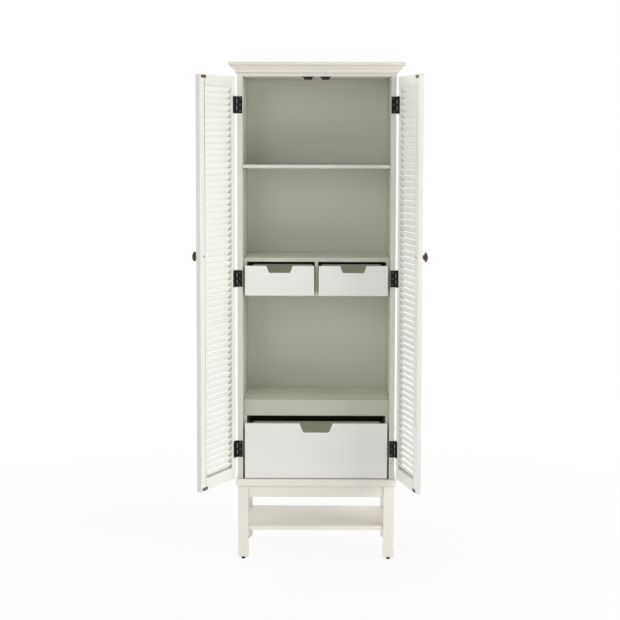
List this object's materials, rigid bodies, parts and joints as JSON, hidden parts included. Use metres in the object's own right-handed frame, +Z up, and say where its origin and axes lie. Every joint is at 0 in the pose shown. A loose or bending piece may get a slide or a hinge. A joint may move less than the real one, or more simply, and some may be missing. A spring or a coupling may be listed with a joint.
{
  "type": "apothecary cabinet",
  "caption": "Tall painted storage cabinet on a leg stand, with louvred double doors, shelves, small and large drawers and a low shelf.",
  "frame": {"origin": "on the floor, under the middle of the body's footprint", "axes": "+X to the cabinet's left-hand side as seen from behind, which is the viewer's right; +Y from the front to the back; +Z up"},
  "size_m": [0.8741, 0.6869, 1.937],
  "materials": {
    "body_paint": "satin off-white paint",
    "interior_paint": "satin grey-green paint",
    "door_paint": "satin off-white paint",
    "drawer_paint": "satin off-white paint",
    "drawer_wood": "flat grey-green paint",
    "hinge_black": "black enamel",
    "pin_steel": "brushed",
    "screw_steel": "brushed",
    "knob_bronze": "antique bronze",
    "strike_plate": "antique",
    "catch_plastic": "matte brown",
    "glide_plastic": "matte black"
  },
  "bodies": {
    "cabinet": {"side_panel_left": "body_paint", "side_panel_right": "body_paint", "top_panel": "body_paint", "top_front_rail": "body_paint", "top_board": "body_paint", "crown_front": "body_paint", "crown_returns": "body_paint", "back_panel": "interior_paint", "adjustable_shelf": "body_paint", "shelf_pins": "screw_steel", "fixed_shelf": "body_paint", "drawer_divider": "body_paint", "small_bay_bottom": "body_paint", "small_bay_cheeks": "body_paint", "open_bay_floor": "body_paint", "drawer_rail": "body_paint", "large_bay_cheeks": "body_paint", "cabinet_floor": "body_paint", "base_board": "body_paint", "front_legs": "body_paint", "rear_legs": "body_paint", "front_apron": "body_paint", "rear_apron": "body_paint", "side_aprons": "body_paint", "stand_shelf": "body_paint", "foot_glides": "glide_plastic", "magnet_catches": "catch_plastic", "frame_hinge_leaves": "hinge_black", "hinge_pins": "pin_steel", "frame_hinge_screws": "hinge_black"},
    "left_door": {"left_door_hinge_stile": "door_paint", "left_door_meeting_stile": "door_paint", "left_door_top_rail": "door_paint", "left_door_bottom_rail": "door_paint", "left_door_slats": "door_paint", "left_door_strike_plates": "strike_plate", "left_door_knob": "knob_bronze", "left_door_knob_screw": "screw_steel", "left_door_hinge_leaves": "hinge_black", "left_door_hinge_screws": "hinge_black"},
    "right_door": {"right_door_hinge_stile": "door_paint", "right_door_meeting_stile": "door_paint", "right_door_top_rail": "door_paint", "right_door_bottom_rail": "door_paint", "right_door_slats": "door_paint", "right_door_strike_plates": "strike_plate", "right_door_knob": "knob_bronze", "right_door_knob_screw": "screw_steel", "right_door_hinge_leaves": "hinge_black", "right_door_hinge_screws": "hinge_black"},
    "small_left_drawer": {"small_left_drawer_front": "drawer_paint", "small_left_drawer_walls": "drawer_wood", "small_left_drawer_bottom": "drawer_wood"},
    "small_right_drawer": {"small_right_drawer_front": "drawer_paint", "small_right_drawer_walls": "drawer_wood", "small_right_drawer_bottom": "drawer_wood"},
    "large_drawer": {"large_drawer_front": "drawer_paint", "large_drawer_walls": "drawer_wood", "large_drawer_bottom": "drawer_wood"}
  },
  "joints": [
    {"name": "left_door_hinge", "type": "hinge", "parent": "cabinet", "child": "left_door", "pos_m": [-0.31, -0.1935, 1.108], "axis": [0, 0, -1], "range_deg": [-112, 68]},
    {"name": "right_door_hinge", "type": "hinge", "parent": "cabinet", "child": "right_door", "pos_m": [0.31, -0.1935, 1.108], "axis": [0, 0, 1], "range_deg": [-102, 78]},
    {"name": "small_left_drawer_slide", "type": "slide", "parent": "cabinet", "child": "small_left_drawer", "axis": [0, -1, 0], "range_m": [-0.0185, 0.22]},
    {"name": "small_right_drawer_slide", "type": "slide", "parent": "cabinet", "child": "small_right_drawer", "axis": [0, -1, 0], "range_m": [-0.0185, 0.22]},
    {"name": "large_drawer_slide", "type": "slide", "parent": "cabinet", "child": "large_drawer", "axis": [0, -1, 0], "range_m": [-0.0185, 0.23]}
  ]
}
